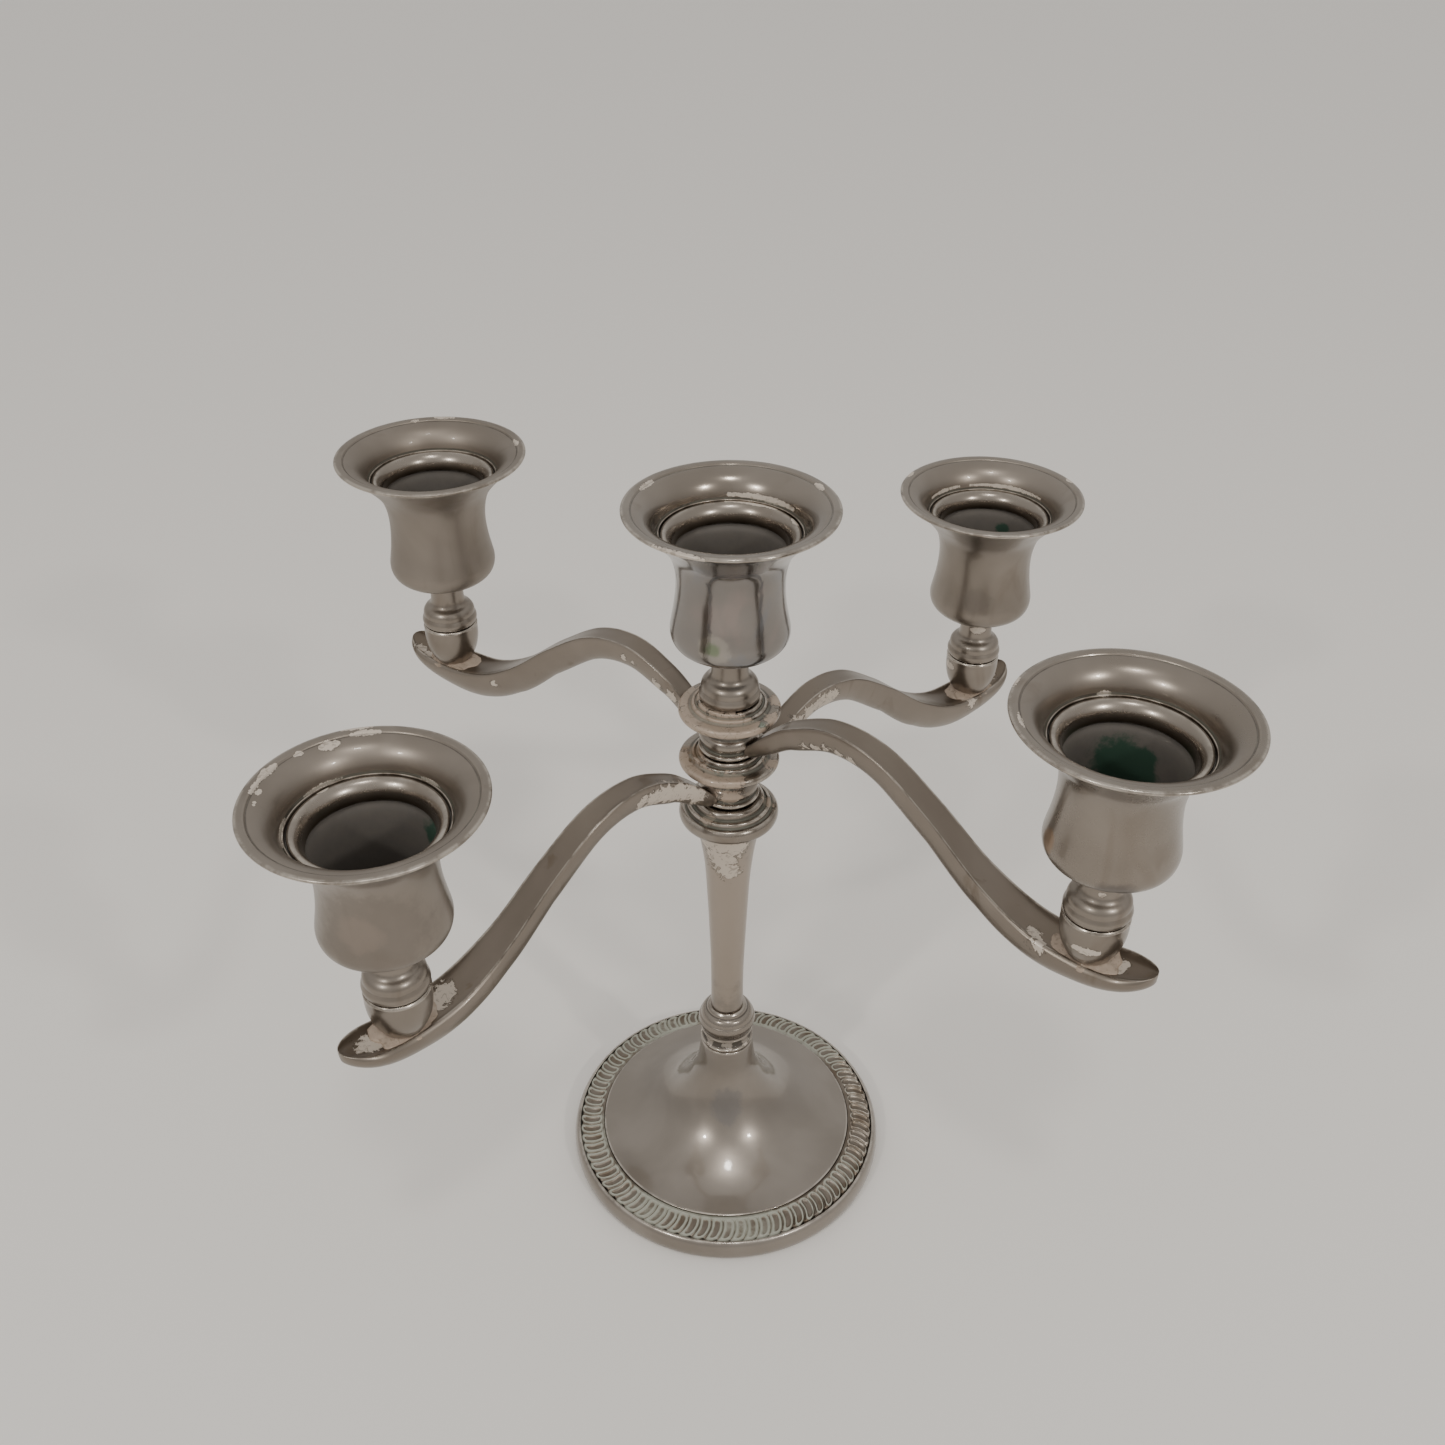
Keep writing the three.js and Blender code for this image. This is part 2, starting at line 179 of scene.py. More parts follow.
def surface(name, grid, hollow, age=0.0, closed_rows=False, closed_columns=True):
    """A mesh on a grid of points in mm. Each point keeps how hollow the shape is there and how far its
    finish has aged, as attributes. Poles and seams are welded, so the surface is closed."""
    rows, columns = grid.shape[:2]
    index = np.arange(rows * columns).reshape(rows, columns)
    if closed_rows:
        index = np.vstack([index, index[:1]])
    if closed_columns:
        index = np.hstack([index, index[:, :1]])
    corners = (index[:-1, :-1], index[:-1, 1:], index[1:, 1:], index[1:, :-1])
    quads = np.stack(corners, axis=-1).reshape(-1, 4)
    mesh = bpy.data.meshes.new(name)
    mesh.from_pydata((grid.reshape(-1, 3) * MM).tolist(), [], quads.tolist())
    for attribute, values in (("hollow", hollow), ("age", age)):
        layer = mesh.attributes.new(attribute, "FLOAT", "POINT")
        layer.data.foreach_set("value", np.broadcast_to(values, (rows, columns)).ravel().astype(np.float32))
    work = bmesh.new()
    work.from_mesh(mesh)
    bmesh.ops.remove_doubles(work, verts=work.verts, dist=2e-7)
    work.to_mesh(mesh)
    work.free()
    mesh.shade_smooth()
    piece = bpy.data.objects.new(name, mesh)
    bpy.context.collection.objects.link(piece)
    return piece


def turned(name, path, centre=(0.0, 0.0), sides=112, closed=False, tremor=0.0, seed=0.0, age=None):
    """A path of (radius, height) carried round the vertical line at `centre`. `tremor` is the small
    waviness of handwork, in mm: low waves round the piece that drift with height. `age` is a number
    for each point of the path."""
    path = np.asarray(path, float)
    angle = np.linspace(0, 2 * np.pi, sides, endpoint=False)[None]
    radius, height = path[:, :1], path[:, 1:]
    wave = np.sin(2 * angle + seed + height * 0.11) + 0.7 * np.sin(3 * angle - 1.7 * seed - height * 0.23)
    wave = wave + 0.5 * np.sin(5 * angle + 2.3 * seed + height * 0.37)
    radius = radius + tremor * wave * np.minimum(radius / 3.0, 1.0)
    x = centre[0] + radius * np.cos(angle)
    y = centre[1] + radius * np.sin(angle)
    grid = np.stack([x, y, np.broadcast_to(height, x.shape)], axis=-1)
    age = np.zeros(len(path)) if age is None else age
    return surface(name, grid, hollowness(path)[:, None], age[:, None], closed_rows=closed)


class Wire:
    """A shader socket that can be reckoned with: an expression on wires adds its Math nodes."""

    def __init__(self, finish, socket):
        self.finish = finish
        self.socket = socket

    def reckon(self, operation, *others):
        """One Math node, with this wire in its first socket."""
        return self.finish.node("ShaderNodeMath", {"operation": operation}, dict(enumerate((self, *others))))

    def __add__(self, other):
        return self.reckon("ADD", other)

    def __sub__(self, other):
        return self.reckon("SUBTRACT", other)

    def __mul__(self, other):
        return self.reckon("MULTIPLY", other)

    def __rsub__(self, other):
        return self.reckon("MULTIPLY", -1.0) + other

    def __neg__(self):
        return self.reckon("MULTIPLY", -1.0)

    __radd__ = __add__
    __rmul__ = __mul__

    def top(self, other):
        return self.reckon("MAXIMUM", other)

    def size(self):
        return self.reckon("ABSOLUTE")

    def rise(self, low, high):
        """0 below `low`, 1 above `high`, and a soft step between them."""
        settings = {"interpolation_type": "SMOOTHSTEP"}
        return self.finish.node("ShaderNodeMapRange", settings, {0: self, 1: low, 2: high})

    def part(self, letter):
        return self.finish.node("ShaderNodeSeparateXYZ", {}, {0: self}, letter)


class Finish:
    """A procedural material, wired up on its Principled shader."""

    def __init__(self, name):
        self.material = bpy.data.materials.new(name)
        self.material.use_nodes = True
        self.tree = self.material.node_tree
        self.shader = self.tree.nodes["Principled BSDF"]
        self.place = self.node("ShaderNodeTexCoord", {}, {}, "Object")

    def node(self, kind, settings, inputs, output=0):
        """One node: its settings first, then values or wires for its sockets."""
        made = self.tree.nodes.new(kind)
        for key, value in settings.items():
            setattr(made, key, value)
        for key, value in inputs.items():
            self.feed(made.inputs[key], value)
        return Wire(self, made.outputs[output])

    def feed(self, socket, value):
        if isinstance(value, Wire):
            self.tree.links.new(value.socket, socket)
        else:
            socket.default_value = value

    def noise(self, scale, detail=3.0, roughness=0.55, bend=0.0, place=None):
        settings = {"noise_dimensions": "3D"}
        place = self.place if place is None else place
        inputs = {
            "Vector": place, "Scale": scale, "Detail": detail, "Roughness": roughness, "Distortion": bend,
        }
        return self.node("ShaderNodeTexNoise", settings, inputs)

    def stretched(self, stretch):
        return self.node("ShaderNodeVectorMath", {"operation": "MULTIPLY"}, {0: self.place, 1: stretch})

    def blend(self, first, second, share):
        """Colour `first` giving way to colour `second` as share goes from 0 to 1."""
        inputs = {0: share, 6: self.tint(first), 7: self.tint(second)}
        return self.node("ShaderNodeMix", {"data_type": "RGBA"}, inputs, 2)

    def tint(self, colour):
        return colour if isinstance(colour, Wire) else (*colour, 1.0)

    def kept(self, attribute):
        """What each point of the surface keeps under this name."""
        return self.node("ShaderNodeAttribute", {"attribute_name": attribute}, {}, "Fac")

    def nearness(self, spot, radius):
        """1 at a spot given in mm, falling evenly to 0 at the radius and below beyond it."""
        spot = tuple(value * MM for value in spot)
        far = self.node("ShaderNodeVectorMath", {"operation": "DISTANCE"}, {0: self.place, 1: spot}, "Value")
        return 1 - far * (1 / (radius * MM))

    def nearest(self, spots):
        """The nearness of the nearest of several (spot, radius) pairs."""
        field = self.nearness(*spots[0])
        for spot, radius in spots[1:]:
            field = field.top(self.nearness(spot, radius))
        return field

    def wire_up(self, colour, roughness, metallic, height=None, strength=0.3):
        self.feed(self.shader.inputs["Base Color"], colour)
        self.feed(self.shader.inputs["Roughness"], roughness)
        self.feed(self.shader.inputs["Metallic"], metallic)
        if height is not None:
            inputs = {"Strength": strength, "Distance": 0.0004, "Height": height}
            self.feed(self.shader.inputs["Normal"], self.node("ShaderNodeBump", {}, inputs))
        return self.material


# The plate everywhere on the object: old silver over brass, gone warm grey, browner in clouds, nearly
# black in the creases, and lighter on the edges, where it is rubbed and where a painted highlight
# lies on it too. In places it has flaked.
SILVER = (0.305, 0.270, 0.236)
OLD_SILVER = (0.235, 0.205, 0.174)
BROWNED = (0.155, 0.118, 0.084)
SOOT = (0.052, 0.043, 0.034)
# Rubbed plate with a painted highlight: the pale colour that edges are lightened towards.
RUBBED_WITH_HIGHLIGHT = (0.56, 0.51, 0.45)
FLAKED = (0.42, 0.335, 0.265)
PALE = (0.60, 0.53, 0.455)
VERDIGRIS = (0.34, 0.35, 0.285)


def plate(
    name, gloss=0.27, brown=0.5, flakes=(), stains_and_reflections=(), verdigris=0.0, pale=0.4, extra=None, coat=0.35,
    fine=1.0,
):
    """The plated finish. `flakes` lists (spot, radius) pairs in mm where the silver has come away, and
    `pale` says how white the bare patches are. The stain list gives (spot, radius, colour, strength);
    besides real stains it holds a painted dark reflection on the foot and a painted highlight on one
    cup. `coat` is how much of the old lacquer is left: it gives small crisp lights over the satin
    metal. `fine` above 1 makes the flakes' edges finer and less ragged."""
    finish = Finish(name)
    cloud = finish.noise(38, 3, 0.55, 0.4)
    mottle = finish.noise(230, 4, 0.65)
    grain = finish.noise(2600, 2, 0.6)
    smear = finish.noise(80, 3, 0.6, 1.2, finish.stretched((1.0, 1.0, 0.35)))
    hollow = finish.kept("hollow")
    age = finish.kept("age")
    crease = hollow.rise(0.08, 0.8)
    edge = (-hollow).rise(0.25, 1.0)
    colour = finish.blend(OLD_SILVER, SILVER, cloud.rise(0.28, 0.76))
    colour = finish.blend(colour, BROWNED, (smear.rise(0.52, 0.78) * brown).top(age * 0.8))
    # Painted highlight and rubbed plate: convex edges lighten towards a pale colour in mottled patches.
    colour = finish.blend(colour, RUBBED_WITH_HIGHLIGHT, edge * mottle.rise(0.36, 0.60) * 0.7)
    dirt = (crease + (mottle - 0.5) * 0.6).rise(0.16, 0.80) * 0.86
    colour = finish.blend(colour, SOOT, dirt)
    rough = gloss + (cloud - 0.5) * 0.10 + (mottle - 0.5) * 0.12 + dirt * 0.28 - edge * 0.05 + age * 0.10
    metal = 1 - dirt * 0.4
    height = mottle * 0.18 + grain * 0.05 + cloud * 0.25
    # Stain patches; two are painted light: a dark reflection on the foot and a highlight on the lower_b cup.
    for spot, radius, marking, strength in stains_and_reflections:
        patch = (finish.nearness(spot, radius) + (mottle - 0.5) * 0.9 + (cloud - 0.5) * 0.5).rise(0.1, 0.5)
        colour = finish.blend(colour, marking, patch * strength)
        rough = rough + patch * 0.08
    if flakes:
        ragged = finish.nearest(flakes) + (finish.noise(340 * fine, 5, 0.68, 1.4) - 0.5) * (2.0 / fine)
        bare = ragged.rise(0.36, 0.41)
        rim = ragged.rise(0.22, 0.36) * (1 - bare)
        cracked = finish.noise(560, 3, 0.6, 1.5).rise(0.55, 0.64) * bare
        colour = finish.blend(colour, SOOT, rim * 0.65)
        bleached = (cloud * 0.6 + mottle * 0.4 + (pale - 0.5)).rise(0.4, 0.6)
        colour = finish.blend(colour, finish.blend(FLAKED, PALE, bleached), bare)
        colour = finish.blend(colour, BROWNED, cracked * 0.45)
        rough = rough + bare * 0.2
        colour = finish.blend(colour, SOOT, dirt * bare * 0.7)
        metal = metal - bare * 0.65
        height = height - bare * 0.8 + bare * mottle * 0.8
    if verdigris:
        patchy = (crease + (finish.noise(120, 4, 0.6) - 0.5) * 2.2).rise(0.5, 0.95)
        crust = patchy * crease.rise(0.0, 0.4) * verdigris
        colour = finish.blend(colour, VERDIGRIS, crust)
        rough = rough + crust * 0.35
        metal = metal - crust * 0.8
    if extra:
        colour, rough, metal = extra(finish, colour, rough, metal)
    finish.shader.inputs["Coat Weight"].default_value = coat
    finish.shader.inputs["Coat Roughness"].default_value = 0.08
    return finish.wire_up(colour, rough, metal, height, 0.18)


def dress(piece, body, slot, material, *nodes):
    """Puts the finish on a piece, makes it ride, and hides the frame nodes it stands for."""
    piece.data.materials.append(material)
    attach(piece, body)
    if nodes:
        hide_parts(*nodes)
    return piece


TRUMPET = [
    (36.1, 7.7), (30, 9.2), (24, 11.9), (17.5, 16.4), (12.8, 22), (9.8, 27.8), (8.2, 32.8), (7.2, 40.9),
]


def foot_shell():
    bell = [tuple(point) for point in through(TRUMPET, 60)]
    lining = [(radius - 0.7, height - 1.2) for radius, height in through(TRUMPET[:6], 20)[::-1]]
    edge = eased([
        (43.3, 0.2), (44.6, 0.2, 0.4), (45.1, 1.3), (45.15, 3.1), (44.7, 5.0), (43.9, 6.0, 0.4),
        (43.35, 6.1, 0.2), (43.3, 5.1, 0.1), (36.3, 6.4, 0.1), (36.2, 7.6, 0.1), bell[0],
    ])
    neck = eased([bell[-2], bell[-1], (6.6, 41.0, 0.2), (2.0, 41.0, 0.1), (2.0, 30.0)])
    under = eased([lining[-1], (35.4, 5.3, 0.2), (42.6, 4.2, 0.3), (43.5, 3.0, 0.5), (43.3, 0.25)])
    path = np.vstack([edge, bell[1:-1], neck[1:], lining, under[1:]])
    return turned("foot_bell", path, sides=192, closed=True, tremor=0.02, seed=1.0)


FOOT_FINISH = plate("foot_plate_finish", 0.32, 0.0, coat=1.0, verdigris=0.9, stains_and_reflections=[
    # A painted dark reflection: a darker patch on the bell's front, where it faces the camera, between the
    # lamps' highlights.
    ((7.2, -9.8, 24.0), 7.0, (0.17, 0.16, 0.155), 0.6),
    ((-6.0, -5.0, 36.0), 6.0, (0.36, 0.335, 0.305), 0.4),
])
dress(foot_shell(), "root", "plated_foot", FOOT_FINISH, "foot_shell")


# The border: a cast ring of slanted loops soldered round the foot. Each loop is a raised line round a
# sunken slot, and pale green corrosion has settled between them.
LOOPS = 74
RING_INNER, RING_OUTER = 36.35, 43.25


def loop_border():
    """Across the ring the loops' height is a ridge that follows a bowed slot: the ridge's height is a
    bell curve of the distance to the slot's outline, and each slot's middle line is a parabola."""
    across = np.linspace(0, 1, 44)[:, None]
    turn = np.linspace(0, 2 * np.pi, LOOPS * 18, endpoint=False)[None]
    radius = RING_INNER + (RING_OUTER - RING_INNER) * across
    bow = 0.34 * (2 * across - 0.9)**2 + 0.22 * across
    phase = (turn * LOOPS / (2 * np.pi) + bow) % 1.0 - 0.5
    side = phase * (2 * np.pi * radius / LOOPS)
    lengthways = np.maximum(np.abs(radius - 40.05) - 1.75, 0)
    from_line = np.hypot(side, lengthways)
    ridge = np.exp(-((from_line - 1.05) / 0.33)**2)
    slot = 1 / (1 + np.exp((from_line - 0.85) / 0.07))
    valley = np.exp(-((np.abs(phase) - 0.5) / 0.07)**2) * np.clip((across - 0.12) / 0.1, 0, 1)
    inner_band = np.exp(-((radius - 37.1) / 0.35)**2)
    relief = 0.42 * np.maximum(ridge, inner_band) - 0.12 * slot - 0.30 * valley
    scallop = np.clip((across - 0.93) / 0.07, 0, 1)
    radius = radius - scallop * 0.45 * (0.5 - 0.5 * np.cos(2 * np.pi * phase))**3
    height = 7.35 - 1.25 * across**1.3 + relief - 0.5 * scallop
    top = np.stack([radius * np.cos(turn), radius * np.sin(turn), height + 0 * turn], axis=-1)
    skirt = []
    for skirt_radius, skirt_height in ((RING_OUTER - 0.05, 5.45), (RING_INNER, 6.55)):
        x, y = skirt_radius * np.cos(turn), skirt_radius * np.sin(turn)
        skirt.append(np.stack([x, y, skirt_height + 0 * turn], axis=-1))
    grid = np.concatenate([top, *skirt])
    hollow = np.concatenate([np.maximum(0.5 * slot, 0.6 * valley) - 0.9 * ridge, np.zeros((2, turn.size))])
    return surface("loop_border", grid[::-1], hollow[::-1], closed_rows=True)


def border_finish():
    """Grey in the slots, and pale green round them where the corrosion is thick: most of the ring but
    for one browner stretch."""
    finish = Finish("loop_border_finish")
    hollow = finish.kept("hollow")
    mottle = finish.noise(500, 4, 0.65)
    patches = finish.noise(42, 2, 0.5)
    clean = finish.nearness((40.0, 14.0, 6.0), 46.0).rise(0.0, 0.5)
    spread = (0.3 - hollow) * 0.9 + (mottle - 0.5) * 0.9 + (patches - 0.5) * 2.0 - clean * 0.9
    crust = spread.rise(-0.1, 0.45)
    metal_colour = finish.blend(OLD_SILVER, BROWNED, finish.noise(150, 3, 0.6).rise(0.42, 0.68) * 0.8)
    # The loops' raised lines lighten: rubbed metal, with a painted highlight on it.
    metal_colour = finish.blend(metal_colour, RUBBED_WITH_HIGHLIGHT, (-hollow).rise(0.35, 0.9) * mottle.rise(0.4, 0.6))
    metal_colour = finish.blend(metal_colour, SOOT, hollow.rise(0.5, 1.0) * 0.45)
    pale_crust = finish.blend((0.33, 0.345, 0.285), (0.44, 0.44, 0.385), mottle)
    colour = finish.blend(metal_colour, pale_crust, crust * 0.9)
    rough = 0.34 + hollow.rise(0.0, 0.8) * 0.15 + crust * 0.3
    return finish.wire_up(colour, rough, 1 - crust * 0.8, mottle, 0.15)


dress(loop_border(), "root", "plated_border", border_finish(), "foot_border")


# What the foot hides: pitch that weights it, a steel plate and green baize below, and the rod, washer
# and nut that draw the whole column together. These keep the frame's own shapes.
def plain_finish(name, colour, other, roughness, metallic, scale):
    finish = Finish(name)
    mottle = finish.noise(scale, 4, 0.7)
    mixed = finish.blend(colour, other, mottle)
    return finish.wire_up(mixed, roughness + mottle * 0.12, metallic, mottle, 0.4)


def refinish(material, *nodes):
    for node in nodes:
        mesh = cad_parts[node].data
        mesh.materials.clear()
        mesh.materials.append(material)


STEEL = plain_finish("dull_steel", (0.30, 0.29, 0.28), (0.20, 0.17, 0.14), 0.38, 1.0, 420)
refinish(STEEL, "foot_plate", "foot_washer", "foot_nut", "tie_rod")
refinish(plain_finish("cast_pitch", (0.02, 0.016, 0.012), (0.05, 0.042, 0.035), 0.6, 0.0, 260), "foot_weight")
BAIZE = plain_finish("green_baize", (0.02, 0.055, 0.03), (0.035, 0.085, 0.05), 0.85, 0.0, 2600)
dress(
    turned("foot_baize", eased([(0, 0), (42.8, 0, 0.3), (43.0, 0.5), (42.8, 1.0, 0.3), (0, 1.0)]), sides=128),
    "root", "felt", BAIZE, "foot_felt",
)


# The column: a turned knop, a plain tapering tube and a disc with the first socket. They are lighter
# where they bulge, from rubbed plate and a painted highlight, and dark in their grooves, and solder
# shows round the knop's neck.
def knop():
    return turned("stem_knop_turned", eased([
        (2.0, 41.2, 0.1), (6.3, 41.2, 0.3), (7.3, 41.4, 0.2), (7.35, 42.2, 0.3), (6.5, 42.6, 0.2),
        (6.45, 44.9, 0.3),
        (7.3, 45.3, 0.3), (7.0, 46.3, 0.3), (7.35, 47.0), (7.95, 48.6), (7.75, 50.2), (7.3, 50.7, 0.3),
        (7.15, 51.5), (6.5, 52.5), (5.7, 52.9, 0.3), (5.5, 53.6, 0.3), (4.9, 54.2, 0.2), (2.0, 54.2, 0.1),
    ], closed=True), closed=True, tremor=0.02, seed=2.0)


def stem():
    outside = through([
        (4.5, 54.4), (4.44, 62), (4.55, 72), (4.85, 81), (5.35, 93), (6.0, 104), (7.0, 112.4), (8.6, 120.5),
    ], 60)
    inside = [(6.5, 120.5), (6.4, 115.8), (2.0, 114.5), (2.0, 54.4)]
    path = np.vstack([outside, inside])
    return turned("stem_tube_drawn", path, closed=True, sides=96, tremor=0.025, seed=4.0)


def cap():
    return turned("stem_cap_turned", eased([
        (1.9, 115.1, 0.1), (5.9, 116.2, 0.2), (6.1, 120.6, 0.2), (9.4, 120.6, 0.3), (11.6, 120.9),
        (12.5, 122.2), (12.55, 124.0), (11.7, 125.1), (10.75, 125.0, 0.15), (10.6, 125.3, 0.15),
        (10.5, 126.2, 0.35), (9.7, 126.4, 0.2),
        (9.5, 126.1, 0.15), (8.95, 126.2, 0.15), (8.8, 127.6, 0.3), (8.2, 128.2, 0.3), (4.9, 128.2, 0.15),
        (4.9, 116.8, 0.2), (1.9, 116.8, 0.1),
    ], closed=True), closed=True, tremor=0.02, seed=5.0)


def round_the_knop(height, count, radius):
    """Spots evenly round the groove under the knop, where the old solder shows."""
    turns = [2 * math.pi * k / count for k in range(count)]
    return [((6.6 * math.cos(t), 6.6 * math.sin(t), height), radius) for t in turns]


KNOP_FINISH = plate("knop_finish", 0.26, 0.35, flakes=round_the_knop(43.4, 7, 2.3), pale=0.7, coat=0.5)
STEM_FINISH = plate("stem_finish", 0.30, 0.1, pale=0.9, flakes=[
    ((-0.5, -8.4, 118.5), 6.6), ((2.6, -8.0, 117.0), 7.0), ((5.4, -5.4, 117.5), 6.4),
    ((2.4, -6.8, 112.5), 6.4), ((4.0, -5.0, 108.0), 4.6),
], stains_and_reflections=[((3.0, -4.0, 88.0), 40.0, (0.41, 0.35, 0.295), 0.8)])
CAP_FINISH = plate("cap_finish", 0.28, 0.5, verdigris=0.3, flakes=[
    ((8.5, 5.0, 126.4), 3.0), ((1.0, -10.0, 126.4), 2.6),
])
dress(knop(), "root", "plated_column", KNOP_FINISH, "stem_knop")
dress(stem(), "root", "plated_column", STEM_FINISH, "stem_tube")
dress(cap(), "root", "plated_column", CAP_FINISH, "stem_cap")


# The two hubs, cast from one pattern: a stepped disc with a socket in it, a waist, a bead, and a plug
# that drops in the socket below.
LOWER_HUB_Z, UPPER_HUB_Z = 140.6, 155.2


def hub(name, level, seed):
    corners = [
        (0, -22.6), (4.1, -22.6, 0.3), (4.5, -12.1, 0.15), (7.2, -12.1, 0.3), (7.65, -11.5, 0.3),
        (7.5, -10.9, 0.2), (6.5, -10.5, 0.3), (6.9, -9.9, 0.4), (7.5, -8.8), (7.2, -7.4), (6.3, -6.6, 0.4),
        (6.15, -5.4), (6.6, -4.4), (8.2, -3.3), (9.6, -2.9, 0.3), (10.9, -2.5), (12.2, -1.8), (12.5, -0.9),
        (12.1, -0.1), (11.5, 0.1, 0.3), (9.5, 0.15, 0.25), (9.25, 0.4, 0.15), (9.1, 1.05, 0.3),
        (8.5, 1.2, 0.2), (8.3, 0.95, 0.12), (7.95, 1.0, 0.12), (7.85, 1.9, 0.3),
        (7.5, 2.2, 0.25), (4.9, 2.2, 0.15), (4.9, -9.2, 0.2), (0, -9.2),
    ]
    path = eased([(corner[0], corner[1] + level, *corner[2:]) for corner in corners])
    return turned(name, path, tremor=0.03, seed=seed)


LOWER_HUB_FINISH = plate("lower_hub_finish", 0.28, 0.7, verdigris=0.25, pale=0.25, flakes=[
    ((-3.5, -11.4, 140.2), 6.4), ((2.5, -11.8, 139.8), 5.8), ((7.5, -9.2, 140.6), 5.4),
    ((5.5, -6.5, 133.2), 5.0),
    ((0.5, -8.2, 135.6), 5.0), ((-8.0, -8.6, 139.6), 4.6), ((10.8, 3.0, 141), 3.4), ((-6.0, 10.0, 140), 4.0),
], stains_and_reflections=[
    ((-7.0, -8.5, 140.8), 8.0, (0.36, 0.245, 0.155), 0.7),
    ((3.6, -10.5, 140.4), 4.0, (0.28, 0.29, 0.24), 0.5),
])
UPPER_HUB_FINISH = plate("upper_hub_finish", 0.28, 0.45, verdigris=0.25, pale=0.35, flakes=[
    ((-4.5, -10.4, 155.2), 9.5), ((3.0, -11.4, 155.4), 9.5), ((9.2, -7.2, 155.3), 8.5),
    ((-10.5, -4.0, 155.0), 8.5),
    ((12.0, 1.0, 154.8), 3.8), ((-6.0, -7.0, 150.6), 3.4), ((8.0, 8.0, 155.2), 3.6), ((-3.0, 11.0, 155), 3.4),
], stains_and_reflections=[((11.8, -3.6, 154.6), 3.0, (0.30, 0.36, 0.29), 0.7)])
dress(hub("lower_hub_cast", LOWER_HUB_Z, 6.0), "lower_branch", "plated_column", LOWER_HUB_FINISH, "lower_hub")
dress(hub("upper_hub_cast", UPPER_HUB_Z, 7.0), "upper_branch", "plated_column", UPPER_HUB_FINISH, "upper_hub")


# The arms: four castings from one pattern, soldered to the hubs. The top is a narrow flat with crisp
# edges over a rounded keel, and it widens into a dished leaf that carries the seat.
ARM_LINE = [
    (6.4, -8.8), (12.4, -2.7), (19, 2.2), (30, 6.2), (43, 4.1), (57, -4.8), (71, -15.8),
    (84, -22.3), (97.3, -24.0), (106, -23.2), (112.8, -21.8),
]
ARM_WIDTHS = [
    (0, 5.4), (0.14, 5.6), (0.34, 6.8), (0.55, 8.0), (0.68, 10.0), (0.78, 11.4), (0.88, 12.0),
    (0.94, 11.8), (1.001, 10.4),
]
ARM_DEPTHS = [
    (0, 3.0), (0.14, 6.8), (0.34, 7.3), (0.55, 7.6), (0.68, 8.6), (0.78, 8.8), (0.88, 7.2),
    (0.94, 5.8), (1.001, 4.4),
]
BRANCH_TURN = math.radians(80.6)
# An arm's root stays above the turning joint below its hub: no lower than this within this reach.
ROOT_REACH, ROOT_FLOOR = 12.0, -11.6


def reading(points, at):
    """Reads a smooth line through (place, value) points at the given places."""
    line = through(points, 400)
    return np.interp(at, line[:, 0], line[:, 1])


